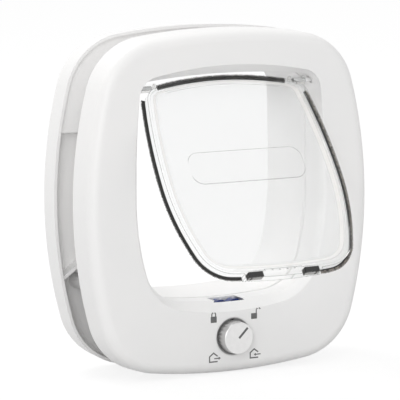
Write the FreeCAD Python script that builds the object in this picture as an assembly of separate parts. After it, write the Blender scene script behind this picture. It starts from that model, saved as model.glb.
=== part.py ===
import FreeCAD, Part
import math
import os
from collections import namedtuple
from FreeCAD import Vector

# A four-way locking cat flap. The origin is the centre of the door cut-out on the inside
# face of the door: X to the right as seen from the room, Y out through the door, Z up.

# Frames, shared by the room side and the outer side
WIDTH = 230.0
HEIGHT = 250.0
SIDE_RADIUS = 323.0
END_RADIUS = 466.0
CORNER_RADIUS = 48.5
FRAME_DEPTH = 25.4
FRAME_DRAFT = 1.2
EDGE_RADIUS = 8.0
WALL = 2.2
DOOR_GAP = 31.0
SLIDE_FIT = 0.3

# Passage through the door, and the wider mouth in the front cover
JAMB_WIDTH = 40.0
LINTEL_HEIGHT = 31.6
SILL_HEIGHT = 53.5
PASSAGE_HALF_WIDTH = WIDTH / 2 - JAMB_WIDTH
PASSAGE_MIDDLE = 6.0
PASSAGE_TOP = HEIGHT / 2 - LINTEL_HEIGHT
PASSAGE_BOTTOM = SILL_HEIGHT - HEIGHT / 2
PASSAGE_UPPER_RADIUS = 3000.0
PASSAGE_LOWER_RADIUS = 200.0
PASSAGE_CEILING_BOW = 5.0
PASSAGE_SILL_BOW = 6.8
PASSAGE_TOP_CORNER = 12.0
PASSAGE_LOW_CORNER = 34.0
MOUTH_SIDE_FLARE = 3.4
MOUTH_TOP_FLARE = 6.2
MOUTH_SILL_FLARE = 7.5
MOUTH_DEPTH = 8.0
MOUTH_UPPER_RADIUS = 600.0
MOUTH_CEILING_BOW = 10.4
MOUTH_SILL_BOW = 13.8
MOUTH_CORNER_GROWTH = 4.0
MOUTH_STEPS = 4
SLEEVE_WALL = 2.0
SLEEVE_START = 2.0
SOCKET_START = -2.0
SOCKET_END = 20.0

# Base plate inside the cover, its clips and the four fixing screws
PLATE_THICKNESS = 3.0
PLATE_RECESS = 1.0
CATCH_REACH = 1.0
CATCH_WIDTH = 14.0
CATCH_THICKNESS = 0.8
POST_RADIUS = 2.6
CLIP_ANGLES = (18, 50, 90, 130, 162, 198, 225, 250, 290, 315, 342)
SCREW_SIDE_INSET = 27.0
SCREW_END_INSET = 65.0
SCREW_RADIUS = 2.0
SCREW_HEAD_RADIUS = 4.0
SCREW_HEAD_HEIGHT = 2.6
SCREW_DRIVE_REACH = 2.4
SCREW_DRIVE_DEPTH = 1.3
SCREW_DRIVE_HALF_WIDTH = 0.5
SCREW_HOLE_FIT = 0.2
SCREW_BITE = 9.0
SCREW_TIP_ROOM = 2.0
BOSS_RADIUS = 5.6
INSERT_RADIUS = 3.2
INSERT_LENGTH = 8.0

# Land, stepped pockets and ribs inside the outer frame
LAND_SETBACK = 3.0
LAND_WIDTH = 26.0
LAND_DROP = 74.0
POCKET_STEP = 9.0
RIB_THICKNESS = 2.6
RIB_SLOPE = 34.8
RIB_AIM_Z = 20.0

# Flap, hung from two pins and shown swung into the room
FLAP_ANGLE = 34.3
HINGE_Y = -11.6
HINGE_DROP = 8.9
FLAP_SIDE_GAP = 1.2
FLAP_TOP_GAP = 1.5
FLAP_SILL_GAP = 0.5
FLAP_MIDDLE = 6.0
FLAP_UPPER_RADIUS = 390.0
FLAP_LOWER_RADIUS = 165.0
FLAP_TOP_BOW = 11.1
FLAP_BOTTOM_BOW = 6.9
FLAP_TOP_CORNER = 15.0
FLAP_LOW_CORNER = 29.0
FLAP_DEPTH = 7.0
FLAP_WALL = 1.8
RIM_WIDTH = 2.0
TRAY_SLOPE = 8.0
TRAY_TOP_SLOPE = 2.0
TRAY_TOP_CORNER = 5.5
SEAL_WIDTH = 2.6
SEAL_DEPTH = 1.2
SEAL_SETBACK = 1.3
SEAL_TOP_END_GAP = 22.0
SEAL_PIVOT_GAP = 9.0
SEAL_BOTTOM_HALF_GAP = 31.0
PLAQUE_SIDE_GAP = 29.0
PLAQUE_HEIGHT = 25.0
PLAQUE_RADIUS = 9.0
PLAQUE_RAISE = 0.6
PLAQUE_DROP = 65.5
CATCH_TOOTH_PITCH = 6.0
CATCH_TOOTH_COUNT = 5
CATCH_TOOTH_HEIGHT = 3.2
CATCH_TOOTH_WEB = 0.8

# Hinge pins and their bushes
PIN_RADIUS = 1.5
PIN_REACH = 17.0
PIN_END_GAP = 0.5
PIN_FIT = 0.05
FLAP_BOSS_RADIUS = 3.2
FLAP_BOSS_GAP = 8.0
FLAP_BOSS_ROOT = 3.0
BUSH_WALL = 1.4
BUSH_INSET = 0.2
BUSH_DEPTH = 6.0
BUSH_BOSS_WALL = 2.0
BUSH_BOSS_ROOT = 3.0

# Magnets in the flap's lower edge and under the sill
MAGNET_X = 22.5
MAGNET_LENGTH = 11.2
MAGNET_HEIGHT = 3.9
SILL_MAGNET_LENGTH = 8.0
SILL_MAGNET_HEIGHT = 4.0
SILL_MAGNET_DEPTH = 6.0
MAGNET_POCKET_WALL = 1.2

# Lock: dial, drive gear, and the drum whose lobes rise through the sill slot
KNOB_HEIGHT = 27.5
KNOB_RADIUS = 12.2
KNOB_TAPER = 0.6
KNOB_PROUD = 8.6
KNOB_EDGE = 0.8
KNOB_FLUTES = 24
KNOB_FLUTE_RADIUS = 0.7
KNOB_FLUTE_SETOUT = 0.23
KNOB_WELL_RADIUS = 14.4
KNOB_WELL_DEPTH = 2.2
KNOB_DISH_DEPTH = 0.9
KNOB_SIDE_GAP = 0.8
KNOB_FLOAT = 0.4
KNOB_CAVITY_WALL = 2.4
KNOB_HUB_RADIUS = 5.0
POINTER_ANGLE = 45.0
POINTER_LENGTH = 10.0
POINTER_WIDTH = 1.7
POINTER_DEPTH = 1.2
SHAFT_RADIUS = 3.0
SHAFT_FIT = 0.05
SHAFT_FLAT_Z = 2.1
SHAFT_GRIP = 7.5
GEAR_TEETH = 12
GEAR_MODULE = 1.125
GEAR_THICKNESS = 2.4
GEAR_ADDENDUM = 0.8
GEAR_DEDENDUM = 1.15
GEAR_PRESSURE_ANGLE = 20.0
GEAR_BACKLASH = 0.2
LOCK_AIR = 0.35
LOBE_THICKNESS = 2.8
LOBE_RISE = 4.0
LOBE_HALF_ANGLE = 19.0
DISC_RADIUS = 10.0
DRUM_HUB_RADIUS = 6.5
DRUM_PIN_RADIUS = 2.0
DRUM_PIN_LENGTH = 2.2
DRUM_BOSS_RADIUS = 4.6
DIMPLE_DEPTH = 0.8
SLOT_AIR = 0.5
DETENT_RADIUS = 2.2
DETENT_HEAD_HEIGHT = 9.0
DETENT_BLOCK_HALF_WIDTH = 5.0
DETENT_BLOCK_REACH = 3.6
DETENT_BLOCK_FOOT_AIR = 1.5
DETENT_BLOCK_TOP_AIR = 0.8
SPRING_WIRE = 0.3
SPRING_TURNS = 5
SPRING_HEIGHT = 6.0

# Worked-out planes, places and lengths
SCREW_X = WIDTH / 2 - SCREW_SIDE_INSET
SCREW_Z = HEIGHT / 2 - SCREW_END_INSET
LAND_BOTTOM = HEIGHT / 2 - LAND_DROP
HINGE_Z = PASSAGE_TOP - HINGE_DROP
KNOB_Z = KNOB_HEIGHT - HEIGHT / 2
PIN_INNER_X = PASSAGE_HALF_WIDTH - PIN_REACH
FLAP_BOSS_OUTER_X = PASSAGE_HALF_WIDTH - FLAP_BOSS_GAP
BUSH_INNER_X = PASSAGE_HALF_WIDTH - BUSH_INSET
BUSH_OUTER_X = PASSAGE_HALF_WIDTH + BUSH_DEPTH
FACE_Y = -FRAME_DEPTH
COVER_INSIDE_Y = FACE_Y + WALL
MOUTH_BACK_Y = FACE_Y + MOUTH_DEPTH
OUTER_RIM_Y = DOOR_GAP
OUTER_FACE_Y = DOOR_GAP + FRAME_DEPTH
OUTER_FLOOR_Y = OUTER_FACE_Y - WALL
LAND_Y = OUTER_RIM_Y + LAND_SETBACK
PLATE_BACK_Y = -PLATE_RECESS
PLATE_FRONT_Y = PLATE_BACK_Y - PLATE_THICKNESS
FLAP_FRONT_Y = HINGE_Y - FLAP_DEPTH / 2
FLAP_BACK_Y = HINGE_Y + FLAP_DEPTH / 2
SEAL_Y = HINGE_Y + SEAL_SETBACK
SEAL_BACK_Y = SEAL_Y + SEAL_DEPTH
GEAR_PITCH_RADIUS = GEAR_TEETH * GEAR_MODULE / 2
GEAR_TIP_RADIUS = GEAR_PITCH_RADIUS + GEAR_ADDENDUM * GEAR_MODULE
DRUM_Z = KNOB_Z + 2 * GEAR_PITCH_RADIUS
LOBE_RADIUS = PASSAGE_BOTTOM + LOBE_RISE - DRUM_Z
FRONT_DISC_BACK_Y = FLAP_FRONT_Y - LOCK_AIR
FRONT_DISC_Y = FRONT_DISC_BACK_Y - LOBE_THICKNESS
REAR_DISC_Y = FLAP_BACK_Y + LOCK_AIR
REAR_DISC_BACK_Y = REAR_DISC_Y + LOBE_THICKNESS
GEAR_BACK_Y = FRONT_DISC_Y - LOCK_AIR
GEAR_Y = GEAR_BACK_Y - GEAR_THICKNESS
WELL_FLOOR_Y = FACE_Y + KNOB_WELL_DEPTH
LOCK_BOSS_BACK_Y = GEAR_Y - LOCK_AIR
KNOB_BACK_Y = WELL_FLOOR_Y - KNOB_FLOAT
KNOB_FACE_Y = FACE_Y - KNOB_PROUD

Outline = namedtuple("Outline", "half_width middle top bottom upper_r lower_r"
                     " top_r bottom_r top_corner low_corner")


def bowed(half_width, bow):
    """Radius of an arc that rises by bow over half its width."""
    return (half_width ** 2 + bow ** 2) / (2 * bow)


FLAP_HALF_WIDTH = PASSAGE_HALF_WIDTH - FLAP_SIDE_GAP
FRAME = Outline(WIDTH / 2, 0.0, HEIGHT / 2, -HEIGHT / 2, SIDE_RADIUS, SIDE_RADIUS,
                END_RADIUS, END_RADIUS, CORNER_RADIUS, CORNER_RADIUS)
PASSAGE = Outline(PASSAGE_HALF_WIDTH, PASSAGE_MIDDLE, PASSAGE_TOP, PASSAGE_BOTTOM,
                  PASSAGE_UPPER_RADIUS, PASSAGE_LOWER_RADIUS,
                  bowed(PASSAGE_HALF_WIDTH, PASSAGE_CEILING_BOW),
                  bowed(PASSAGE_HALF_WIDTH, PASSAGE_SILL_BOW), PASSAGE_TOP_CORNER, PASSAGE_LOW_CORNER)
FLAP = Outline(FLAP_HALF_WIDTH, FLAP_MIDDLE, PASSAGE_TOP - FLAP_TOP_GAP,
               PASSAGE_BOTTOM + FLAP_SILL_GAP, FLAP_UPPER_RADIUS, FLAP_LOWER_RADIUS,
               bowed(FLAP_HALF_WIDTH, FLAP_TOP_BOW), bowed(FLAP_HALF_WIDTH, FLAP_BOTTOM_BOW),
               FLAP_TOP_CORNER, FLAP_LOW_CORNER)


def grown(shape, amount):
    """The same outline moved outwards by amount all round, with its arcs still concentric."""
    return shape._replace(
        half_width=shape.half_width + amount,
        top=shape.top + amount,
        bottom=shape.bottom - amount,
        upper_r=shape.upper_r + amount,
        lower_r=shape.lower_r + amount,
        top_r=shape.top_r + amount,
        bottom_r=shape.bottom_r + amount,
        top_corner=shape.top_corner + amount,
        low_corner=shape.low_corner + amount)


def corner_arc(half_width, rise, side_r, end_r, corner_r):
    """Tangent points and middle of the arc that joins a side arc to an end arc."""
    side = Vector(half_width - side_r, 0, 0)
    end = Vector(0, 0, rise - end_r)
    span = end - side
    reach = span.Length
    inner_side = side_r - corner_r
    inner_end = end_r - corner_r
    along = (inner_side ** 2 - inner_end ** 2 + reach ** 2) / (2 * reach)
    across = math.sqrt(inner_side ** 2 - along ** 2)
    unit = Vector(span).normalize()
    normal = Vector(unit.z, 0, -unit.x)
    options = [side + unit * along + normal * across, side + unit * along - normal * across]
    centre = max(options, key=lambda point: point.x + point.z)
    from_side = (centre - side).normalize()
    from_end = (centre - end).normalize()
    start = centre + from_side * corner_r
    finish = centre + from_end * corner_r
    middle = centre + (from_side + from_end).normalize() * corner_r
    half = side + (start - side + Vector(side_r, 0, 0)).normalize() * side_r
    return half, start, middle, finish


def wire(shape, y):
    """Closed wire of ten tangent arcs in the plane at depth y."""
    rise = shape.top - shape.middle
    drop = shape.middle - shape.bottom
    upper = corner_arc(shape.half_width, rise, shape.upper_r, shape.top_r, shape.top_corner)
    lower = corner_arc(shape.half_width, drop, shape.lower_r, shape.bottom_r, shape.low_corner)

    def place(point, flip_x, flip_z):
        return Vector(point.x * flip_x, y, shape.middle + point.z * flip_z)

    side = Vector(shape.half_width, 0, 0)
    points = [place(side, 1, 1)]
    points += [place(point, 1, 1) for point in upper]
    points += [Vector(0, y, shape.top)]
    points += [place(point, -1, 1) for point in reversed(upper)]
    points += [place(side, -1, 1)]
    points += [place(point, -1, -1) for point in lower]
    points += [Vector(0, y, shape.bottom)]
    points += [place(point, 1, -1) for point in reversed(lower)]
    points += [points[0]]
    arcs = [Part.Arc(points[i], points[i + 1], points[i + 2]).toShape()
            for i in range(0, len(points) - 2, 2)]
    return Part.Wire(arcs)


def slab(shape, y0, y1):
    return Part.Face(wire(shape, y0)).extrude(Vector(0, y1 - y0, 0))


def taper(shape0, y0, shape1, y1):
    return Part.makeLoft([wire(shape0, y0), wire(shape1, y1)], True, True)


def ring(outer, inner, y0, y1):
    return slab(outer, y0, y1).cut(slab(inner, y0, y1))


def box(x0, x1, y0, y1, z0, z1):
    return Part.makeBox(x1 - x0, y1 - y0, z1 - z0, Vector(x0, y0, z0))


def rod_y(radius, x, z, y0, y1):
    return Part.makeCylinder(radius, y1 - y0, Vector(x, y0, z), Vector(0, 1, 0))


def rod_x(radius, y, z, x0, x1):
    return Part.makeCylinder(radius, x1 - x0, Vector(x0, y, z), Vector(1, 0, 0))


def fuse_all(solids):
    whole = solids[0]
    for solid in solids[1:]:
        whole = whole.fuse(solid)
    return whole.removeSplitter()


def cut_all(solid, tools):
    for tool in tools:
        solid = solid.cut(tool)
    return solid


def corners(x, z):
    return [(sx * x, sz * z) for sz in (1, -1) for sx in (-1, 1)]


def frame_block(rim_y, face_y, inset):
    """Drafted frame body with a softly rounded face edge, its walls set in by inset."""
    shape = grown(FRAME, -inset)
    depth = abs(face_y - rim_y)
    draft = FRAME_DRAFT * depth / FRAME_DEPTH
    block = taper(shape, rim_y, grown(shape, -draft), face_y)
    edges = [edge for edge in block.Edges
             if all(abs(vertex.Point.y - face_y) < 1e-4 for vertex in edge.Vertexes)]
    return block.makeFillet(EDGE_RADIUS - inset, edges)


def mouth():
    """Outline of the opening in the front face, wider than the passage behind it."""
    half_width = PASSAGE.half_width + MOUTH_SIDE_FLARE
    return PASSAGE._replace(
        half_width=half_width,
        top=PASSAGE.top + MOUTH_TOP_FLARE,
        bottom=PASSAGE.bottom - MOUTH_SILL_FLARE,
        upper_r=MOUTH_UPPER_RADIUS,
        top_r=bowed(half_width, MOUTH_CEILING_BOW),
        bottom_r=bowed(half_width, MOUTH_SILL_BOW),
        top_corner=PASSAGE.top_corner + MOUTH_CORNER_GROWTH,
        low_corner=PASSAGE.low_corner + MOUTH_CORNER_GROWTH)


def funnel(wall):
    """Mouth from the face back to the passage, its sides rounded and its top and sill straight
    slopes, grown by a wall for its outside."""
    wires = []
    for step in range(MOUTH_STEPS + 1):
        turn = math.pi / 2 * step / MOUTH_STEPS
        flare = mouth()
        rounded = [a + (b - a) * (1 - math.sin(turn)) for a, b in zip(PASSAGE, flare)]
        straight = [a + (b - a) * math.cos(turn) for a, b in zip(PASSAGE, flare)]
        shape = Outline(*straight)._replace(half_width=rounded[0])
        y = FACE_Y + MOUTH_DEPTH * (1 - math.cos(turn))
        wires.append(wire(grown(shape, wall), y))
    return Part.makeLoft(wires, True, False)


def sill_slot():
    """Room for the drum's lobes, which opens the slot in the sill that they rise through."""
    return rod_y(LOBE_RADIUS + SLOT_AIR, 0, DRUM_Z, FRONT_DISC_Y - SLOT_AIR,
                 REAR_DISC_BACK_Y + SLOT_AIR)


def around(shape, angle, aim_z=0.0):
    """Point and direction where a ray from the middle of the frame meets its outline."""
    direction = Vector(math.cos(math.radians(angle)), 0, math.sin(math.radians(angle)))
    start = Vector(0, 0, aim_z)
    ray = Part.makeLine(start, start + direction * (WIDTH + HEIGHT))
    hit = wire(shape, 0).distToShape(ray)[1][0][0]
    return hit, direction


def radial_block(angle, near, far, half_width, y0, y1, aim_z=0.0):
    """Upright block on the ray at an angle, from near to far inside the frame's outline."""
    hit, _ = around(FRAME, angle, aim_z)
    length = (hit - Vector(0, 0, aim_z)).Length
    block = box(length - far, length - near, y0, y1, -half_width, half_width)
    block.rotate(Vector(0, 0, 0), Vector(0, 1, 0), -angle)
    block.translate(Vector(0, 0, aim_z))
    return block


def front_cover():
    """Moulded shell seen from the room: soft edges, rounded mouth, dial well and clips."""
    shell = frame_block(0, FACE_Y, 0).cut(frame_block(0, COVER_INSIDE_Y, WALL))
    collar = funnel(WALL)
    well = rod_y(KNOB_WELL_RADIUS + WALL, 0, KNOB_Z, COVER_INSIDE_Y - WALL / 2, LOCK_BOSS_BACK_Y)
    drum_boss = rod_y(DRUM_BOSS_RADIUS, 0, DRUM_Z, COVER_INSIDE_Y - WALL / 2, LOCK_BOSS_BACK_Y)
    posts = []
    catches = []
    for angle in CLIP_ANGLES:
        hit, direction = around(FRAME, angle)
        post = hit - direction * (WALL + POST_RADIUS)
        posts.append(rod_y(POST_RADIUS, post.x, post.z, COVER_INSIDE_Y - WALL / 2, PLATE_FRONT_Y))
        tab = radial_block(angle, WALL / 2, WALL + CATCH_REACH, CATCH_WIDTH / 2,
                           PLATE_BACK_Y, PLATE_BACK_Y + CATCH_THICKNESS)
        catches.append(tab)
    inside = frame_block(0, FACE_Y, WALL / 2)
    details = fuse_all([collar, well, drum_boss] + posts + catches).common(inside)
    cover = shell.fuse(details)
    bore_radius = KNOB_RADIUS + KNOB_SIDE_GAP
    tools = [
        funnel(0),
        Part.makeCone(KNOB_WELL_RADIUS, bore_radius, KNOB_DISH_DEPTH, Vector(0, FACE_Y, KNOB_Z),
                      Vector(0, 1, 0)),
        rod_y(bore_radius, 0, KNOB_Z, FACE_Y, WELL_FLOOR_Y),
        rod_y(SHAFT_RADIUS + SHAFT_FIT, 0, KNOB_Z, FACE_Y, LOCK_BOSS_BACK_Y + 1),
        rod_y(DRUM_PIN_RADIUS + SHAFT_FIT, 0, DRUM_Z,
              LOCK_BOSS_BACK_Y - DRUM_PIN_LENGTH, LOCK_BOSS_BACK_Y + 1),
        rod_y(GEAR_TIP_RADIUS + LOCK_AIR, 0, DRUM_Z, LOCK_BOSS_BACK_Y, GEAR_BACK_Y + LOCK_AIR),
        sill_slot()]
    return cut_all(cover, tools).removeSplitter()


def magnet_pocket(x, grow):
    """Block under the sill for a magnet, larger by grow on every side but the top."""
    half = SILL_MAGNET_LENGTH / 2 + grow
    depth = SILL_MAGNET_DEPTH / 2 + grow
    top = PASSAGE_BOTTOM - SLEEVE_WALL
    return box(x - half, x + half, HINGE_Y - depth, HINGE_Y + depth,
               top - SILL_MAGNET_HEIGHT - grow, top + 2 * grow)


def detent_block():
    """Solid bracket on the base plate with the upright bore for the detent."""
    top = DRUM_Z - LOBE_RADIUS - DETENT_BLOCK_TOP_AIR
    bottom = -HEIGHT / 2 + WALL + 2 * SLIDE_FIT + DETENT_BLOCK_FOOT_AIR
    front = HINGE_Y - DETENT_BLOCK_REACH
    return box(-DETENT_BLOCK_HALF_WIDTH, DETENT_BLOCK_HALF_WIDTH, front, PLATE_FRONT_Y, bottom, top)


def base_frame():
    """Base moulding behind the cover: plate, passage wall, hinge seats and lock bearings."""
    plate = ring(grown(FRAME, -WALL - SLIDE_FIT), PASSAGE, PLATE_FRONT_Y, PLATE_BACK_Y)
    liner = ring(grown(PASSAGE, SLEEVE_WALL), PASSAGE, MOUTH_BACK_Y, SOCKET_START)
    socket_inside = grown(PASSAGE, SLEEVE_WALL + SLIDE_FIT)
    socket = ring(grown(socket_inside, SLEEVE_WALL), socket_inside, SOCKET_START - SLEEVE_WALL,
                  SOCKET_END)
    step = ring(grown(socket_inside, SLEEVE_WALL), PASSAGE, SOCKET_START - SLEEVE_WALL,
                SOCKET_START)
    solids = [plate, liner, socket, step, detent_block()]
    boss_radius = PIN_RADIUS + PIN_FIT + BUSH_WALL + BUSH_BOSS_WALL
    for side in (-1, 1):
        x0, x1 = sorted((side * (BUSH_INNER_X - BUSH_BOSS_ROOT), side * BUSH_OUTER_X))
        solids.append(rod_x(boss_radius, HINGE_Y, HINGE_Z, x0, x1))
        solids.append(magnet_pocket(side * MAGNET_X, MAGNET_POCKET_WALL))
    base = fuse_all(solids)
    tools = [slab(PASSAGE, MOUTH_BACK_Y - 1, SOCKET_START + 1), sill_slot()]
    for side in (-1, 1):
        x0, x1 = sorted((side * (BUSH_INNER_X - 2 * BUSH_BOSS_ROOT), side * (BUSH_OUTER_X + 1)))
        tools.append(rod_x(PIN_RADIUS + PIN_FIT + BUSH_WALL, HINGE_Y, HINGE_Z, x0, x1))
        tools.append(magnet_pocket(side * MAGNET_X, 0))
    for x, z in corners(SCREW_X, SCREW_Z):
        tools.append(rod_y(SCREW_RADIUS + SCREW_HOLE_FIT, x, z, PLATE_FRONT_Y - 1, 0))
    tools.append(rod_y(DRUM_PIN_RADIUS + SHAFT_FIT, 0, DRUM_Z, PLATE_FRONT_Y - 1,
                       PLATE_FRONT_Y + DRUM_PIN_LENGTH + LOCK_AIR))
    bore_top = DRUM_Z - LOBE_RADIUS
    bore_low = bore_top - DETENT_HEAD_HEIGHT - SPRING_HEIGHT
    tools.append(Part.makeCylinder(DETENT_RADIUS + SHAFT_FIT, bore_top - bore_low,
                                   Vector(0, HINGE_Y, bore_low)))
    return cut_all(base, tools).removeSplitter()


def raised_floor(side):
    """Floor of the pocket between the land and the sloping rib, higher than the pocket below it."""
    y = LAND_Y + POCKET_STEP
    reach = side * WIDTH
    fall = WIDTH * math.tan(math.radians(RIB_SLOPE))
    spots = [Vector(0, y, LAND_BOTTOM), Vector(reach, y, LAND_BOTTOM),
             Vector(reach, y, RIB_AIM_Z - fall), Vector(0, y, RIB_AIM_Z)]
    block = Part.Face(Part.makePolygon(spots + spots[:1])).extrude(Vector(0, OUTER_FLOOR_Y - y, 0))
    return block.common(slab(grown(FRAME, -WALL / 2), y, OUTER_FLOOR_Y))


def outer_frame():
    """Frame on the weather side: soft shell, sleeve into the passage, land, ribs and bosses."""
    shell = frame_block(OUTER_RIM_Y, OUTER_FACE_Y, 0)
    shell = shell.cut(frame_block(OUTER_RIM_Y, OUTER_FLOOR_Y, WALL))
    sleeve = slab(grown(PASSAGE, SLEEVE_WALL), SLEEVE_START, OUTER_FACE_Y)
    land = ring(grown(FRAME, -WALL / 2), grown(FRAME, -WALL - LAND_WIDTH), LAND_Y, OUTER_FLOOR_Y)
    land = land.common(box(-WIDTH, WIDTH, LAND_Y, OUTER_FLOOR_Y, LAND_BOTTOM, HEIGHT))
    solids = [sleeve, land, raised_floor(-1), raised_floor(1)]
    for x, z in corners(SCREW_X, SCREW_Z):
        solids.append(rod_y(BOSS_RADIUS, x, z, LAND_Y, OUTER_FLOOR_Y))
    for turn in (-RIB_SLOPE, -90.0, RIB_SLOPE - 180.0):
        solids.append(radial_block(turn, WALL / 2, HEIGHT / 2, RIB_THICKNESS / 2,
                                   LAND_Y, OUTER_FLOOR_Y, RIB_AIM_Z))
    inside = frame_block(OUTER_RIM_Y, OUTER_FACE_Y, WALL / 2)
    reach = slab(grown(PASSAGE, SLEEVE_WALL), SLEEVE_START, OUTER_RIM_Y)
    details = fuse_all(solids).common(inside.fuse(reach))
    frame = shell.fuse(details)
    tools = [slab(PASSAGE, SLEEVE_START - 1, OUTER_FACE_Y + 1)]
    for x, z in corners(SCREW_X, SCREW_Z):
        tools.append(rod_y(INSERT_RADIUS, x, z, LAND_Y - 1, LAND_Y + INSERT_LENGTH))
        tools.append(rod_y(SCREW_RADIUS + SCREW_HOLE_FIT, x, z, LAND_Y,
                           LAND_Y + SCREW_BITE + SCREW_TIP_ROOM))
    return cut_all(frame, tools).removeSplitter()


def fixing_screws():
    """Four machine screws that draw both frames together through the door."""
    screws = []
    for x, z in corners(SCREW_X, SCREW_Z):
        head_y = PLATE_FRONT_Y - SCREW_HEAD_HEIGHT
        head = rod_y(SCREW_HEAD_RADIUS, x, z, head_y, PLATE_FRONT_Y)
        shank = rod_y(SCREW_RADIUS, x, z, PLATE_FRONT_Y, LAND_Y + SCREW_BITE)
        drive = []
        for reach_x, reach_z in ((SCREW_DRIVE_REACH, SCREW_DRIVE_HALF_WIDTH),
                                 (SCREW_DRIVE_HALF_WIDTH, SCREW_DRIVE_REACH)):
            drive.append(box(x - reach_x, x + reach_x, head_y, head_y + SCREW_DRIVE_DEPTH,
                             z - reach_z, z + reach_z))
        screws.append(cut_all(head.fuse(shank), drive).removeSplitter())
    return Part.makeCompound(screws)


def screw_inserts():
    """Threaded brass inserts in the outer frame's bosses."""
    inserts = []
    for x, z in corners(SCREW_X, SCREW_Z):
        body = rod_y(INSERT_RADIUS, x, z, LAND_Y, LAND_Y + INSERT_LENGTH)
        inserts.append(body.cut(rod_y(SCREW_RADIUS, x, z, LAND_Y, LAND_Y + INSERT_LENGTH)))
    return Part.makeCompound(inserts)


def rim_outline():
    return grown(FLAP, -SEAL_WIDTH)


def tray_outline():
    """Outline of the recessed pane, set in from the rim by the slope of the tray wall."""
    shape = grown(rim_outline(), -RIM_WIDTH - TRAY_SLOPE)
    return shape._replace(top=shape.top + TRAY_SLOPE - TRAY_TOP_SLOPE, top_corner=TRAY_TOP_CORNER)


def flap_swung(solid):
    """Turns a piece modelled on the hanging flap to the angle it is stored at."""
    turned = solid.copy()
    turned.rotate(Vector(0, HINGE_Y, HINGE_Z), Vector(1, 0, 0), -FLAP_ANGLE)
    return turned


def plaque(y0, y1):
    """Raised rounded panel on the pane, left bare."""
    middle = HINGE_Z - PLAQUE_DROP
    half_w = PASSAGE_HALF_WIDTH - PLAQUE_SIDE_GAP
    half_h = PLAQUE_HEIGHT / 2
    block = box(-half_w, half_w, y0, y1, middle - half_h, middle + half_h)
    edges = [edge for edge in block.Edges if abs(edge.tangentAt(edge.FirstParameter).y) > 0.9]
    return block.makeFillet(PLAQUE_RADIUS, edges)


def catch_teeth():
    """Zig-zag stiffening between the magnets on the flap's lower lip."""
    top = FLAP.bottom + FLAP_SILL_GAP + MAGNET_HEIGHT + FLAP_WALL
    half = CATCH_TOOTH_COUNT * CATCH_TOOTH_PITCH / 2
    points = [Vector(half, FLAP_FRONT_Y, top), Vector(-half, FLAP_FRONT_Y, top)]
    for index in range(CATCH_TOOTH_COUNT):
        x = index * CATCH_TOOTH_PITCH - half
        points.append(Vector(x, FLAP_FRONT_Y, top - CATCH_TOOTH_WEB))
        points.append(Vector(x + CATCH_TOOTH_PITCH / 2, FLAP_FRONT_Y, top - CATCH_TOOTH_HEIGHT))
    points.append(Vector(half, FLAP_FRONT_Y, top - CATCH_TOOTH_WEB))
    face = Part.Face(Part.makePolygon(points + points[:1]))
    return face.extrude(Vector(0, FLAP_DEPTH / 2, 0))


def lip_block():
    """Solid lower lip between the ends of the side seals."""
    half = SEAL_BOTTOM_HALF_GAP
    low = slab(FLAP, FLAP_FRONT_Y, FLAP_BACK_Y)
    return low.common(box(-half, half, FLAP_FRONT_Y, FLAP_BACK_Y, FLAP.bottom - 1,
                          FLAP.bottom + SEAL_WIDTH + RIM_WIDTH))


def flap_magnet(side):
    x = side * MAGNET_X
    low = FLAP.bottom + FLAP_WALL / 2
    return box(x - MAGNET_LENGTH / 2, x + MAGNET_LENGTH / 2, FLAP_FRONT_Y, FLAP_BACK_Y - FLAP_WALL,
               low, low + MAGNET_HEIGHT)


def magnet_frame(side):
    x = side * MAGNET_X
    half = MAGNET_LENGTH / 2 + FLAP_WALL / 2
    low = FLAP.bottom + FLAP_WALL / 2
    return box(x - half, x + half, FLAP_FRONT_Y, FLAP_BACK_Y, low, low + MAGNET_HEIGHT + FLAP_WALL / 2)


def flap_panel():
    """Clear tray moulding: pane at the back, sloping walls and a flat rim."""
    rim = rim_outline()
    pane_y = FLAP_BACK_Y - FLAP_WALL
    hollow = taper(grown(rim, -RIM_WIDTH), FLAP_FRONT_Y, tray_outline(), pane_y)
    solids = [slab(rim, FLAP_FRONT_Y, FLAP_BACK_Y).cut(hollow)]
    solids.append(plaque(pane_y - PLAQUE_RAISE, pane_y + FLAP_WALL / 2))
    solids.append(lip_block())
    solids.append(catch_teeth())
    for side in (-1, 1):
        x0, x1 = sorted((side * (PIN_INNER_X - FLAP_BOSS_ROOT), side * FLAP_BOSS_OUTER_X))
        boss = rod_x(FLAP_BOSS_RADIUS, HINGE_Y, HINGE_Z, x0, x1)
        solids.append(boss.common(box(-WIDTH, WIDTH, FLAP_FRONT_Y, FLAP_BACK_Y, 0, HEIGHT)))
        solids.append(magnet_frame(side))
    panel = fuse_all(solids)
    tools = [flap_magnet(side) for side in (-1, 1)]
    for side in (-1, 1):
        x0, x1 = sorted((side * PIN_INNER_X, side * PASSAGE_HALF_WIDTH))
        tools.append(rod_x(PIN_RADIUS, HINGE_Y, HINGE_Z, x0, x1))
    return flap_swung(cut_all(panel, tools).removeSplitter())


def seal_ring():
    return ring(FLAP, rim_outline(), SEAL_Y, SEAL_BACK_Y)


def flap_seal_top():
    half = PASSAGE_HALF_WIDTH - SEAL_TOP_END_GAP
    keep = box(-half, half, FLAP_FRONT_Y, FLAP_BACK_Y, HINGE_Z, HEIGHT)
    return flap_swung(seal_ring().common(keep))


def flap_seal_side(side):
    """Side seal from below the pivot down and round to the magnet."""
    x0, x1 = sorted((side * SEAL_BOTTOM_HALF_GAP, side * WIDTH))
    keep = box(x0, x1, FLAP_FRONT_Y, FLAP_BACK_Y, -HEIGHT, HINGE_Z - SEAL_PIVOT_GAP)
    return flap_swung(seal_ring().common(keep))


def hinge_pin(side):
    x0, x1 = sorted((side * PIN_INNER_X, side * (BUSH_OUTER_X - PIN_END_GAP)))
    return flap_swung(rod_x(PIN_RADIUS, HINGE_Y, HINGE_Z, x0, x1))


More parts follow.
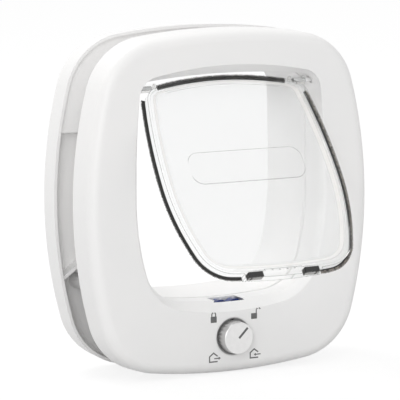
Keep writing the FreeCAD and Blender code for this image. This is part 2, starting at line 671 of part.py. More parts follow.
def hinge_bush(side):
    x0, x1 = sorted((side * BUSH_INNER_X, side * BUSH_OUTER_X))
    outer = rod_x(PIN_RADIUS + PIN_FIT + BUSH_WALL, HINGE_Y, HINGE_Z, x0, x1)
    return outer.cut(rod_x(PIN_RADIUS + PIN_FIT, HINGE_Y, HINGE_Z, x0, x1))


def involute_point(base_r, radius, turn):
    """Point at a radius on the involute of a base circle, turned about the gear's centre."""
    roll = math.sqrt(max((radius / base_r) ** 2 - 1, 0))
    angle = turn + roll - math.atan(roll)
    return radius * math.cos(angle), radius * math.sin(angle)


def gear_blank(x, z, y0, y1, phase):
    """Spur gear with involute flanks, one tooth centred on the phase angle."""
    pitch_r = GEAR_PITCH_RADIUS
    pressure = math.radians(GEAR_PRESSURE_ANGLE)
    base_r = pitch_r * math.cos(pressure)
    tip_r = GEAR_TIP_RADIUS
    root_r = pitch_r - GEAR_DEDENDUM * GEAR_MODULE
    half_tooth = math.pi / (2 * GEAR_TEETH) - GEAR_BACKLASH / (2 * pitch_r)
    base_half = half_tooth + math.tan(pressure) - pressure

    def spot(radius, angle):
        return Vector(x + radius * math.cos(angle), y0, z + radius * math.sin(angle))

    def flank(radius, centre, sign):
        px, pz = involute_point(base_r, radius, -base_half)
        angle = centre - sign * math.atan2(pz, px)
        return spot(math.hypot(px, pz), angle)

    edges = []
    step = 2 * math.pi / GEAR_TEETH
    for index in range(GEAR_TEETH):
        centre = math.radians(phase) + index * step
        rise = [flank(radius, centre, -1) for radius in (base_r, (base_r + tip_r) / 2, tip_r)]
        fall = [flank(radius, centre, 1) for radius in (tip_r, (base_r + tip_r) / 2, base_r)]
        root_start = spot(root_r, centre - base_half)
        root_end = spot(root_r, centre + base_half)
        next_root = spot(root_r, centre + step - base_half)
        edges.append(Part.makeLine(root_start, rise[0]))
        edges.append(Part.Arc(*rise).toShape())
        edges.append(Part.Arc(rise[2], spot(tip_r, centre), fall[0]).toShape())
        edges.append(Part.Arc(*fall).toShape())
        edges.append(Part.makeLine(fall[2], root_end))
        edges.append(Part.Arc(root_end, spot(root_r, centre + step / 2), next_root).toShape())
    outline = Part.Wire(Part.__sortEdges__(edges))
    return Part.Face(outline).extrude(Vector(0, y1 - y0, 0))


def drive_gear():
    """Dial shaft with its pinion, trapped behind the front cover."""
    gear = gear_blank(0, KNOB_Z, GEAR_Y, GEAR_BACK_Y, 90.0)
    shaft = rod_y(SHAFT_RADIUS, 0, KNOB_Z, KNOB_BACK_Y - SHAFT_GRIP, GEAR_BACK_Y)
    flat = box(-SHAFT_RADIUS, SHAFT_RADIUS, KNOB_BACK_Y - SHAFT_GRIP, KNOB_BACK_Y,
               KNOB_Z + SHAFT_FLAT_Z, KNOB_Z + SHAFT_RADIUS)
    return gear.fuse(shaft).cut(flat).removeSplitter()


def sector(radius, x, z, angle, half_angle, y0, y1):
    """Pie-shaped lobe of a disc, centred on an angle."""
    centre = Vector(x, y0, z)
    spots = [centre + Vector(radius * math.cos(math.radians(turn)), 0,
                             radius * math.sin(math.radians(turn)))
             for turn in (angle - half_angle, angle, angle + half_angle)]
    outline = Part.Wire([Part.makeLine(centre, spots[0]),
                         Part.Arc(spots[0], spots[1], spots[2]).toShape(),
                         Part.makeLine(spots[2], centre)])
    return Part.Face(outline).extrude(Vector(0, y1 - y0, 0))


def cam(y0, y1, angles):
    """Disc of the lock drum with its lobes."""
    solids = [rod_y(DISC_RADIUS, 0, DRUM_Z, y0, y1)]
    solids += [sector(LOBE_RADIUS, 0, DRUM_Z, angle, LOBE_HALF_ANGLE, y0, y1) for angle in angles]
    return solids


def drum_front():
    """Front half of the lock drum: axle end, pinion and the cam ahead of the flap."""
    phase = 270.0 + 180.0 / GEAR_TEETH
    return fuse_all([
        gear_blank(0, DRUM_Z, GEAR_Y, GEAR_BACK_Y, phase),
        rod_y(DRUM_PIN_RADIUS, 0, DRUM_Z, LOCK_BOSS_BACK_Y - DRUM_PIN_LENGTH + LOCK_AIR, GEAR_Y),
        rod_y(DISC_RADIUS / 2, 0, DRUM_Z, GEAR_BACK_Y, FRONT_DISC_Y)]
        + cam(FRONT_DISC_Y, FRONT_DISC_BACK_Y, (180.0, 270.0)))


def drum_hub():
    """Hub between the two cams, with a dimple for each quarter turn."""
    dimples = []
    for turn in (0, 90, 180, 270):
        reach = DRUM_HUB_RADIUS + DETENT_RADIUS - DIMPLE_DEPTH
        spot = Vector(reach * math.cos(math.radians(turn)), HINGE_Y,
                      DRUM_Z + reach * math.sin(math.radians(turn)))
        dimples.append(Part.makeSphere(DETENT_RADIUS, spot))
    return cut_all(rod_y(DRUM_HUB_RADIUS, 0, DRUM_Z, FRONT_DISC_BACK_Y, REAR_DISC_Y), dimples)


def drum_rear():
    """Rear half of the lock drum: the cam behind the flap and its axle end."""
    axle = rod_y(DRUM_PIN_RADIUS, 0, DRUM_Z, REAR_DISC_BACK_Y, PLATE_FRONT_Y + DRUM_PIN_LENGTH)
    return fuse_all(cam(REAR_DISC_Y, REAR_DISC_BACK_Y, (180.0, 0.0)) + [axle])


def detent_plunger():
    """Round-nosed plunger that clicks into the drum's dimples."""
    nose = DRUM_Z - DRUM_HUB_RADIUS - LOCK_AIR
    foot = DRUM_Z - LOBE_RADIUS - DETENT_HEAD_HEIGHT
    centre = nose - DETENT_RADIUS
    body = Part.makeCylinder(DETENT_RADIUS, centre - foot, Vector(0, HINGE_Y, foot))
    return body.fuse(Part.makeSphere(DETENT_RADIUS, Vector(0, HINGE_Y, centre))).removeSplitter()


def detent_spring():
    """Coil spring under the plunger."""
    foot = DRUM_Z - LOBE_RADIUS - DETENT_HEAD_HEIGHT - SPRING_HEIGHT
    radius = DETENT_RADIUS - SPRING_WIRE - SHAFT_FIT
    rise = SPRING_HEIGHT - 2 * SPRING_WIRE
    helix = Part.makeHelix(rise / SPRING_TURNS, rise, radius)
    section = Part.Wire(Part.makeCircle(SPRING_WIRE, Vector(radius, 0, 0), Vector(0, 1, 0)))
    coil = Part.Wire(helix.Edges).makePipeShell([section], True, True)
    coil.translate(Vector(0, HINGE_Y, foot + SPRING_WIRE))
    return coil


def knob_body():
    """Fluted dial: hollow cup with a hub that grips the shaft, and a groove for the pointer."""
    face_r = KNOB_RADIUS - KNOB_TAPER
    body = Part.makeCone(face_r, KNOB_RADIUS, KNOB_BACK_Y - KNOB_FACE_Y,
                         Vector(0, KNOB_FACE_Y, KNOB_Z), Vector(0, 1, 0))
    front = [edge for edge in body.Edges if abs(edge.BoundBox.YMin - KNOB_FACE_Y) < 1e-4
             and edge.BoundBox.YLength < 1e-4]
    body = body.makeFillet(KNOB_EDGE, front[:1])
    cavity = rod_y(face_r - KNOB_CAVITY_WALL, 0, KNOB_Z, KNOB_FACE_Y + KNOB_CAVITY_WALL, KNOB_BACK_Y)
    hub = rod_y(KNOB_HUB_RADIUS, 0, KNOB_Z, KNOB_FACE_Y + KNOB_CAVITY_WALL / 2, KNOB_BACK_Y)
    shaft = rod_y(SHAFT_RADIUS, 0, KNOB_Z, KNOB_BACK_Y - SHAFT_GRIP, KNOB_BACK_Y)
    shaft = shaft.cut(box(-SHAFT_RADIUS, SHAFT_RADIUS, KNOB_BACK_Y - SHAFT_GRIP, KNOB_BACK_Y,
                          KNOB_Z + SHAFT_FLAT_Z, KNOB_Z + SHAFT_RADIUS))
    body = body.cut(cavity).fuse(hub).cut(shaft)
    flutes = []
    for index in range(KNOB_FLUTES):
        turn = 2 * math.pi * index / KNOB_FLUTES
        reach = KNOB_RADIUS + KNOB_FLUTE_SETOUT
        flutes.append(rod_y(KNOB_FLUTE_RADIUS, reach * math.cos(turn), KNOB_Z + reach * math.sin(turn),
                            KNOB_FACE_Y + 2 * KNOB_EDGE, KNOB_BACK_Y))
    return cut_all(body, flutes + [knob_pointer()]).removeSplitter()


def knob_pointer():
    """Dark pointer strip inlaid in the dial's face, aimed at the open padlock."""
    strip = box(0, POINTER_LENGTH, KNOB_FACE_Y, KNOB_FACE_Y + POINTER_DEPTH,
                -POINTER_WIDTH / 2, POINTER_WIDTH / 2)
    strip.rotate(Vector(0, 0, 0), Vector(0, 1, 0), -POINTER_ANGLE)
    strip.translate(Vector(0, 0, KNOB_Z))
    return strip


def sides(name, maker):
    return {name + "_left": maker(-1), name + "_right": maker(1)}


def build():
    parts = {
        "front_cover": front_cover(),
        "base_frame": base_frame(),
        "outer_frame": outer_frame(),
        "fixing_screws": fixing_screws(),
        "screw_inserts": screw_inserts(),
        "flap_panel": flap_panel(),
        "flap_seal_top": flap_seal_top(),
        "knob_body": knob_body(),
        "knob_pointer": knob_pointer(),
        "drive_gear": drive_gear(),
        "drum_front": drum_front(),
        "drum_hub": drum_hub(),
        "drum_rear": drum_rear(),
        "detent_plunger": detent_plunger(),
        "detent_spring": detent_spring(),
    }
    parts.update(sides("flap_seal", flap_seal_side))
    parts.update(sides("flap_magnet", lambda side: flap_swung(flap_magnet(side))))
    parts.update(sides("hinge_pin", hinge_pin))
    parts.update(sides("hinge_bush", hinge_bush))
    parts.update(sides("sill_magnet", lambda side: magnet_pocket(side * MAGNET_X, 0)))
    return parts


os.makedirs("parts", exist_ok=True)
for node, shape in build().items():
    shape.exportStep("parts/" + node + ".step")
    print(node, len(shape.Solids), shape.isValid(), round(shape.Volume, 1))
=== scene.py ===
"""The dressed cat flap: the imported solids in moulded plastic, clear acrylic and metal, with pile
seals, a lock guide, printed signs and a studio round them.

Lengths are in metres, except in the signs, which say so. +X is to the right seen from the room,
+Y out through the door, and +Z up.
"""

import cmath
import math

import bmesh
import bpy
from mathutils import Matrix, Vector
from mathutils.bvhtree import BVHTree


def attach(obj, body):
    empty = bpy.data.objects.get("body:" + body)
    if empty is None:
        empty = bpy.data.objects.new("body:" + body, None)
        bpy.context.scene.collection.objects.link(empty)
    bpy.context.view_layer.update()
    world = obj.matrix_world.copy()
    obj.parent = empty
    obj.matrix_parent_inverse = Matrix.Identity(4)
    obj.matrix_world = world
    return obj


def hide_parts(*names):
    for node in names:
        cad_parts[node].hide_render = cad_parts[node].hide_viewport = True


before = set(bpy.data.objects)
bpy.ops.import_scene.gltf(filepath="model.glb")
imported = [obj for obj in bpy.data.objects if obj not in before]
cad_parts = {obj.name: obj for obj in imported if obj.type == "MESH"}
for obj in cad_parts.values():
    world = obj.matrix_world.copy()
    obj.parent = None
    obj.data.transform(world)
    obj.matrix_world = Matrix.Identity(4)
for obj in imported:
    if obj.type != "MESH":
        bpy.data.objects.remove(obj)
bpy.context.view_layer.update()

MM = 0.001
OUTWARDS = (0, 1, 0)

# Flap: its hinge, and its own directions as it is stored, swung into the room
HINGE = Vector((0, -11.6 * MM, 84.5 * MM))
FLAP_SWING = Matrix.Rotation(math.radians(-34.3), 4, "X")
FLAP_BACKWARD = FLAP_SWING @ Vector(OUTWARDS)
FLAP_UPWARD = FLAP_SWING @ Vector((0, 0, 1))
PANE_CENTRE = HINGE - 78 * MM * FLAP_UPWARD

# The flap's rim above and below its middle line: half width, height, and the radii of side, end
# and corner
FLAP_MIDDLE = 6 * MM
FLAP_UPPER = [size * MM for size in (73.8, 85.9, 390, 250.9, 15)]
FLAP_LOWER = [size * MM for size in (73.8, 77, 165, 398.1, 29)]

# Section of the pile strip: its width from the rim inwards, its depths behind the hinge, its fins
# and the channel between them
SEAL_WIDTH = 2.6 * MM
SEAL_FRONT = 1.3 * MM
SEAL_BACK = 2.5 * MM
SEAL_MIDDLE = (SEAL_FRONT + SEAL_BACK) / 2
FIN = 0.3 * MM
CHANNEL = 0.5 * MM

# The cover's face, the dial's axle, and the well that the dial stands in, which is painted grey as
# shade
FACE_Y = -25.4 * MM
DIAL_Z = -97.5 * MM
WELL_RADIUS = 14.8 * MM
WELL_FLOOR = FACE_Y + 3 * MM

# Depths at which the walls of the passage meet
PASSAGE_SEAMS = (-17.4 * MM, -1 * MM)

# Lock guide in the sill slot: its depths, its top with the lumps, its shoulders, and the round
# of the slot that it sits on
GUIDE_FRONT = -15.1 * MM
GUIDE_BACK = -8.1 * MM
GUIDE_TOP = -71.75 * MM
GUIDE_WIDTH = 25 * MM
GUIDE_STEPS = 56
LUMP_PITCH = 12 * MM
LUMP_SHIFT = 4.8 * MM
LUMP_DEPTH = 2.4 * MM
SHOULDER = (14.9 * MM, -76 * MM)
SLOT_ROUND_Z = -84 * MM
SLOT_ROUND_RADIUS = 9.2 * MM

# Camera, fitted to the photograph
VIEW_AZIMUTH = math.radians(-27.855)
VIEW_ELEVATION = math.radians(7.676)
VIEW_ROLL = math.radians(-0.459)
VIEW_DISTANCE = 2.0566
VIEW_TARGET = Vector((-10.69, 4.6, -0.65)) * MM
VIEW_LENS = 254.78
SENSOR = 36

# Studio
FLOOR_Z = -125 * MM
FLOOR_REACH = 6
FLOOR_SHADOW = 0.2
ROOM_LEVEL = 0.77


class Value:
    """A node's output, which takes part in ordinary arithmetic."""

    def __init__(self, tree, socket):
        self.tree = tree
        self.socket = socket

    def beside(self, name):
        """Another output of the same node."""
        return Value(self.tree, self.socket.node.outputs[name])

    def __add__(self, other):
        return self.tree.maths("ADD", self, other)

    def __sub__(self, other):
        return self.tree.maths("SUBTRACT", self, other)

    def __rsub__(self, other):
        return self.tree.maths("SUBTRACT", other, self)

    def __mul__(self, other):
        return self.tree.maths("MULTIPLY", self, other)

    def __truediv__(self, other):
        return self.tree.maths("DIVIDE", self, other)

    def __pow__(self, other):
        return self.tree.maths("POWER", self, other)

    __radd__ = __add__
    __rmul__ = __mul__


class Tree:
    """A node tree, for a finish, a made form or the room."""

    def __init__(self, nodes):
        self.nodes = nodes

    def node(self, kind, settings=None, values=None, out=0):
        """A node of a kind: its settings first, then the values or links of its sockets."""
        made = self.nodes.nodes.new(kind)
        for name, value in (settings or {}).items():
            setattr(made, name, value)
        for name, value in (values or {}).items():
            if isinstance(value, Value):
                self.nodes.links.new(value.socket, made.inputs[name])
            else:
                made.inputs[name].default_value = value
        return Value(self, made.outputs[out]) if made.outputs else None

    def maths(self, operation, *values):
        return self.node("ShaderNodeMath", {"operation": operation}, dict(enumerate(values)))

    def vectors(self, operation, *values):
        """Vector Math: a vector, or the number that a dot product or a distance gives."""
        number = operation in ("DOT_PRODUCT", "DISTANCE")
        return self.node("ShaderNodeVectorMath", {"operation": operation},
                         dict(enumerate(values)), out=int(number))


class Finish(Tree):
    """One material of the flap, made from nodes."""

    def __init__(self, name):
        self.material = bpy.data.materials.new(name)
        self.material.use_nodes = True
        super().__init__(self.material.node_tree)
        self.nodes.nodes.clear()
        self.place = self.node("ShaderNodeTexCoord", out="Object")
        self.normal = self.place.beside("Normal")

    def noise(self, scale, detail=2.0, roughness=0.5, place=None):
        return self.node("ShaderNodeTexNoise", None, {
            "Vector": place or self.place, "Scale": scale, "Detail": detail,
            "Roughness": roughness})

    def along(self, direction):
        """Place along a direction."""
        return self.vectors("DOT_PRODUCT", self.place, direction)

    def from_hinge(self, direction):
        """Distance from the flap's hinge along a direction."""
        return self.along(direction) - HINGE.dot(direction)

    def ramp(self, value, low, high):
        """0 at low, 1 at high, and level beyond them."""
        return self.node("ShaderNodeMapRange", None, {
            "Value": value, "From Min": low, "From Max": high})

    def between(self, share, first, second):
        """Colour between two colours by a share."""
        return self.node("ShaderNodeMix", {"data_type": "RGBA"},
                         {0: share, 6: first, 7: second}, out=2)

    def plain_normal(self):
        return self.node("ShaderNodeNewGeometry", out="Normal")

    def soft_edges(self, radius):
        """Normal that rounds the edges."""
        return self.node("ShaderNodeBevel", {"samples": 6}, {"Radius": radius})

    def on_edges(self, radius):
        """1 along sharp edges, 0 on the faces between them."""
        alike = self.vectors("DOT_PRODUCT", self.soft_edges(radius), self.plain_normal())
        return self.ramp(1 - alike, 0.02, 0.12)

    def bump(self, height, depth, strength, under=None):
        values = {"Height": height, "Distance": depth, "Strength": strength}
        if under:
            values["Normal"] = under
        return self.node("ShaderNodeBump", None, values)

    def surface(self, **sockets):
        values = {name.replace("_", " "): value for name, value in sockets.items()}
        return self.node("ShaderNodeBsdfPrincipled", None, values)

    def matt(self, colour):
        return self.node("ShaderNodeBsdfDiffuse", None, {"Color": colour})

    def mixed(self, share, first, second):
        """Shader between two shaders by a share."""
        return self.node("ShaderNodeMixShader", None, {0: share, 1: first, 2: second})

    def done(self, shader):
        self.node("ShaderNodeOutputMaterial", None, {"Surface": shader})
        return self.material


def grey(level, warm=0.0):
    return (level * (1 + warm), level, level * (1 - warm), 1)


def white_moulding():
    """Satin white plastic: its mould's fine grain, a faint change of tone with the flow, and grey
    painted as shade in the hollow that the dial stands in. Its edges are rounded except where the
    walls of the passage meet."""
    finish = Finish("white_moulding")
    grain = finish.noise(3200, 3, 0.6)
    flow = finish.noise(16, 3, 0.55)
    tone = finish.between(finish.ramp(flow, 0.3, 0.7), grey(0.855, 0.004), grey(0.875, 0.008))
    depth = finish.along(OUTWARDS)
    flat = finish.vectors("MULTIPLY", finish.place, (1, 0, 1))
    from_dial = finish.vectors("DISTANCE", flat, (0, 0, DIAL_Z))
    # Painted shade: the floor and walls of the dial's well are painted grey, as the shadow round
    # the dial's foot.
    painted_well_shade = (finish.ramp(depth, FACE_Y + 0.2 * MM, FACE_Y + 0.7 * MM)
            * finish.ramp(depth, WELL_FLOOR, WELL_FLOOR - 0.4 * MM)
            * finish.ramp(from_dial, WELL_RADIUS, WELL_RADIUS - 0.3 * MM))
    off_seams = 1.0
    for seam in PASSAGE_SEAMS:
        apart = finish.maths("ABSOLUTE", depth - seam)
        off_seams = finish.ramp(apart, 1.3 * MM, 1.8 * MM) * off_seams
    rounded = finish.node("ShaderNodeMix", {"data_type": "VECTOR"}, {
        0: off_seams, 4: finish.plain_normal(), 5: finish.soft_edges(0.3 * MM)}, out=1)
    return finish.done(finish.surface(
        Base_Color=finish.between(painted_well_shade, tone, grey(0.3)),
        Roughness=0.36 + 0.1 * finish.noise(90),
        Normal=finish.bump(grain, 0.02 * MM, 0.35, rounded), Specular_IOR_Level=0.42))


def clear_moulding():
    """Clear acrylic in thin walls, seen straight through: hazy on the pane and on the inner walls
    round it, with a dark line painted along each edge in place of the refraction there."""
    finish = Finish("clear_moulding")
    across = finish.maths("ABSOLUTE", finish.from_hinge((1, 0, 0)))
    height = finish.from_hinge(FLAP_UPWARD)
    depth = finish.from_hinge(FLAP_BACKWARD)
    pane = (finish.ramp(depth, 0.3 * MM, 0.6 * MM) * finish.ramp(across, 67 * MM, 65 * MM)
            * finish.ramp(height, 1.5 * MM, 0.5 * MM)
            * finish.ramp(height, -149 * MM, -147 * MM))
    beyond = finish.ramp(across, 45 * MM, 46 * MM)
    plaque = finish.ramp(depth, 1.5 * MM, 1.3 * MM) * (1 - beyond)

    # The normal turns round on a face that is met from inside the wall. Backfacing undoes that, so
    # a wall is the same wall from every side.
    outwards = finish.vectors("NORMALIZE",
                              finish.vectors("SUBTRACT", finish.place, PANE_CENTRE))
    leaning = finish.vectors("DOT_PRODUCT", finish.normal, outwards)
    turned = 2 * finish.node("ShaderNodeNewGeometry", out="Backfacing") - 1
    inner_walls = (finish.ramp(turned * leaning, 0.25, 0.4)
                   * finish.ramp(depth, -2 * MM, -1 * MM) * (1 - pane))

    wave = finish.bump(finish.noise(26, 2, 0.4), 0.08 * MM, 0.3, finish.soft_edges(0.3 * MM))
    glass = finish.surface(
        Base_Color=(0.93, 0.935, 0.935, 1), Roughness=0.02 + 0.02 * finish.noise(60), Normal=wave,
        Transmission_Weight=1.0, IOR=1.02, Coat_Weight=0.1 + 0.2 * pane, Coat_IOR=1.5,
        Coat_Roughness=0.03)
    haze = finish.mixed(pane, finish.matt((0.92, 0.9, 0.87, 1)), finish.matt(grey(0.82, 0.002)))
    clouded = 0.13 + 0.1 * finish.ramp(height, -10 * MM, -95 * MM) + 0.03 * plaque
    veiled = finish.mixed(pane * clouded + inner_walls * 0.5, glass, haze)
    # Painted refraction: a dark matt line along each edge, where clear acrylic would bend darker
    # surroundings into view; fainter on the pane.
    edges = finish.on_edges(0.7 * MM) * (0.9 - pane * (0.4 + 0.5 * beyond))
    lined = finish.mixed(edges, veiled, finish.matt((0.14, 0.14, 0.13, 1)))
    lamp_ray = finish.node("ShaderNodeLightPath", out="Is Shadow Ray")
    through = finish.node("ShaderNodeBsdfTransparent", None, {"Color": (0.95, 0.955, 0.96, 1)})
    return finish.done(finish.mixed(lamp_ray, lined, through))


def pile_backing():
    """Woven black backing of the pile strip."""
    finish = Finish("pile_backing")
    weave = finish.noise(1900, 3, 0.7)
    return finish.done(finish.surface(
        Base_Color=finish.between(weave, grey(0.006), grey(0.030, 0.03)), Roughness=0.85,
        Normal=finish.bump(weave, 0.08 * MM, 0.7), Sheen_Weight=0.15))


def pile_hair(name, dark, tip):
    """Hair of the seal, with brown-grey tufts."""
    finish = Finish(name)
    tuft = finish.ramp(finish.noise(420, 3, 0.7), 0.42, 0.66)
    return finish.done(finish.surface(
        Base_Color=finish.between(tuft, dark, tip), Roughness=0.7 + 0.2 * finish.noise(2600),
        Sheen_Weight=0.25))


def ferrite(name, keeper_depth=None):
    """Pressed black magnet with a slight speckle. The flap's has a pale keeper plate behind it,
    from a depth measured from the hinge."""
    finish = Finish(name)
    speck = finish.noise(2400, 4, 0.75)
    colour = finish.between(finish.ramp(speck, 0.45, 0.75), grey(0.012), grey(0.05))
    if keeper_depth is not None:
        keeper = finish.ramp(finish.from_hinge(FLAP_BACKWARD), keeper_depth,
                             keeper_depth + 0.2 * MM)
        colour = finish.between(keeper, colour, grey(0.42, 0.02))
    return finish.done(finish.surface(
        Base_Color=colour, Roughness=0.42 + 0.2 * speck,
        Normal=finish.bump(speck, 0.03 * MM, 0.5, finish.soft_edges(0.25 * MM))))


def metal(name, tone, scale, roughness):
    """Drawn or turned metal, with fine lines along the direction of the smallest scale."""
    finish = Finish(name)
    stretched = finish.node("ShaderNodeMapping", None, {"Vector": finish.place, "Scale": scale})
    lines = finish.noise(1.0, 3, 0.7, stretched)
    worn = [level * 0.82 for level in tone]
    return finish.done(finish.surface(
        Base_Color=finish.between(lines, (*worn, 1), (*tone, 1)), Metallic=1.0,
        Roughness=roughness + 0.12 * lines,
        Normal=finish.bump(lines, 0.01 * MM, 0.5, finish.soft_edges(0.2 * MM))))


def dial_silver():
    """Satin silver of the dial, with fine rings turned about its axle, and its sides painted
    darker as a painted reflection of dark surroundings.
    """
    finish = Finish("dial_silver")
    centred = finish.vectors("SUBTRACT", finish.place, (0, 0, DIAL_Z))
    x = finish.node("ShaderNodeSeparateXYZ", None, {0: centred})
    z = x.beside("Z")
    radius = (x * x + z * z) ** 0.5
    rings = finish.node("ShaderNodeTexNoise", {"noise_dimensions": "1D"},
                        {"W": radius, "Scale": 9000.0, "Detail": 2.0})
    # Painted reflection: faces that turn away from the front are painted darker, as the dial's
    # sides would mirror dark surroundings.
    front = finish.ramp(finish.vectors("DOT_PRODUCT", finish.normal, (0, -1, 0)), 0.3, 0.8)
    tone = finish.between(finish.noise(320, 3), grey(0.72, 0.006), grey(0.82, 0.006))
    return finish.done(finish.surface(
        Base_Color=finish.between(front, grey(0.58, 0.006), tone), Metallic=0.85,
        Roughness=0.27 + 0.12 * rings,
        Normal=finish.bump(rings, 0.01 * MM, 0.35, finish.soft_edges(0.3 * MM))))


def moulded(finish, dark, light, roughness, grain, front=None):
    """Moulded plastic with its grain and slight mottling; where a front colour is given, that
    colour is painted ahead of the sill's front edge as shade, so the lock's front parts look
    shadowed."""
    fine = finish.noise(grain, 3, 0.6)
    colour = finish.between(finish.noise(240, 3), dark, light)
    if front:
        # Painted shade: ahead of the sill's front edge the colour gives way to the dark front
        # colour.
        behind = finish.ramp(finish.from_hinge(OUTWARDS), -7.4 * MM, -7 * MM)
        colour = finish.between(behind, front, colour)
    return finish.done(finish.surface(
        Base_Color=colour, Roughness=roughness + 0.14 * fine,
        Normal=finish.bump(fine, 0.02 * MM, 0.5, finish.soft_edges(0.25 * MM))))


white = white_moulding()
clear = clear_moulding()
backing = pile_backing()
hair = pile_hair("pile_hair", grey(0.014, 0.05), grey(0.07, 0.10))
# Painted light: a lighter copy of the same pile, for the right seal, whose hair the lamps light
# from the left and front.
painted_lit_hair = pile_hair("pile_hair_painted_lit", grey(0.08, 0.08), grey(0.33, 0.13))
magnet = ferrite("ferrite")
kept_magnet = ferrite("ferrite_on_keeper", -2.4 * MM)
steel = metal("drawn_steel", (0.66, 0.66, 0.68), (9000, 500, 9000), 0.26)
spring_steel = metal("spring_steel", (0.5, 0.5, 0.52), (4000, 4000, 700), 0.3)
brass = metal("turned_brass", (0.80, 0.60, 0.28), (600, 6000, 600), 0.28)
silver = dial_silver()
pivot = moulded(Finish("pivot_white"), grey(0.80), grey(0.85), 0.34, 1800)
inlay = moulded(Finish("pointer_inlay"), grey(0.10), grey(0.13), 0.4, 1800)
ink = moulded(Finish("printed_ink"), grey(0.115), grey(0.15), 0.5, 4200)
# The lock's parts ahead of the sill are painted near black as shade.
navy = moulded(Finish("lock_navy"), (0.008, 0.02, 0.10, 1), (0.015, 0.04, 0.22, 1), 0.16, 1800,
               front=grey(0.03))

NODE_FINISHES = {
    "front_cover": white, "base_frame": white, "outer_frame": white, "flap_panel": clear,
    "fixing_screws": steel, "screw_inserts": brass,
    "hinge_pin_left": pivot, "hinge_pin_right": pivot,
    "hinge_bush_left": pivot, "hinge_bush_right": pivot,
    "flap_magnet_left": kept_magnet, "flap_magnet_right": kept_magnet,
    "sill_magnet_left": magnet, "sill_magnet_right": magnet,
    "detent_plunger": steel, "detent_spring": spring_steel,
    "knob_body": silver, "knob_pointer": inlay, "drive_gear": navy,
    "drum_front": navy, "drum_hub": navy, "drum_rear": navy,
}
for node, material in NODE_FINISHES.items():
    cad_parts[node].material_slots[0].material = material


# What every made piece uses

def placed(name, data):
    """A new object in the scene."""
    made = bpy.data.objects.new(name, data)
    bpy.context.scene.collection.objects.link(made)
    return made


def mesh_piece(name, mesh, body, material=None):
    """A finished piece at the origin that rides on a body."""
    piece = placed(name, mesh)
    if material:
        mesh.materials.clear()
        mesh.materials.append(material)
    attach(piece, body)
    return piece


def wall(build, ring, following):
    """Faces from one ring of corners to the next."""
    for index, corner in enumerate(ring):
        after = (index + 1) % len(ring)
        build.faces.new((corner, ring[after], following[after], following[index]))


def block(build, front, back):
    """Closed form between a front and a back outline."""
    build.faces.new(front)
    build.faces.new(reversed(back))
    wall(build, front, back)


def closed_mesh(name, build):
    """Mesh of a closed form, with its faces outwards."""
    bmesh.ops.recalc_face_normals(build, faces=build.faces)
    mesh = bpy.data.meshes.new(name)
    build.to_mesh(mesh)
    build.free()
    return mesh


# Pile seals on the flap's rim, made on the hanging flap and swung to where it is stored

def quarter(shape, inset, steps=26):
    """A quarter of the rim from its side to its end, as places and outward normals x + iz."""
    half, rise, side_r, end_r, corner_r = [size - inset for size in shape]
    side = complex(half - side_r, 0)
    end = complex(0, rise - end_r)
    near, far, reach = side_r - corner_r, end_r - corner_r, abs(end - side)
    along = (near ** 2 - far ** 2 + reach ** 2) / (2 * reach)
    across = math.sqrt(near ** 2 - along ** 2)
    unit = (end - side) / reach
    corner = max((side + unit * complex(along, sign * across) for sign in (-1, 1)),
                 key=lambda spot: spot.real + spot.imag)
    first, last = cmath.phase(corner - side), cmath.phase(corner - end)
    line = []
    for centre, radius, start, finish in (
            (side, side_r, 0, first), (corner, corner_r, first, last),
            (end, end_r, last, math.pi / 2)):
        for step in range(steps):
            ray = cmath.rect(1, start + (finish - start) * step / steps)
            line.append((centre + ray * radius, ray))
    return line + [(complex(0, rise), 1j)]


def rim_line(inset, keep):
    """Clockwise line round the right half of the rim, as x, z and the normal's x, z, where keep
    says."""
    upper = reversed(quarter(FLAP_UPPER, inset))
    lower = [(spot.conjugate(), ray.conjugate()) for spot, ray in quarter(FLAP_LOWER, inset)[1:]]
    line = [(spot.real, spot.imag + FLAP_MIDDLE, ray.real, ray.imag)
            for spot, ray in [*upper, *lower]]
    return [row for row in line if keep(row[0], row[1])]


def mirrored(line):
    return [(-x, z, -nx, nz) for x, z, nx, nz in reversed(line)]


def right_side(inset):
    return rim_line(inset, lambda x, z: z < 75.4 * MM and (x > 31.2 * MM or z > 0))


def left_side(inset):
    return mirrored(right_side(inset))


def top_run(inset):
    right = rim_line(inset, lambda x, z: z > 60 * MM and x < 52.8 * MM)
    return mirrored(right)[:-1] + right


def swing(mesh):
    """Turns what is made on the hanging flap to where the flap is stored."""
    mesh.transform(Matrix.Translation(HINGE) @ FLAP_SWING @ Matrix.Translation(-HINGE))
    return mesh


def backing_strip(line, fin):
    """Strip that follows a line, with a channel for the hair between two fins of a height."""
    profile = [(0, SEAL_FRONT), (0, SEAL_BACK), (fin, SEAL_BACK), (fin, SEAL_BACK - FIN),
               (CHANNEL, SEAL_BACK - FIN), (CHANNEL, SEAL_FRONT + FIN), (fin, SEAL_FRONT + FIN),
               (fin, SEAL_FRONT)]
    build = bmesh.new()
    rings = [[build.verts.new((x + nx * out, HINGE.y + y, z + nz * out)) for out, y in profile]
             for x, z, nx, nz in line]
    for ring, following in zip(rings, rings[1:]):
        wall(build, ring, following)
    build.faces.new(rings[0])
    build.faces.new(reversed(rings[-1]))
    return closed_mesh("strip", build)


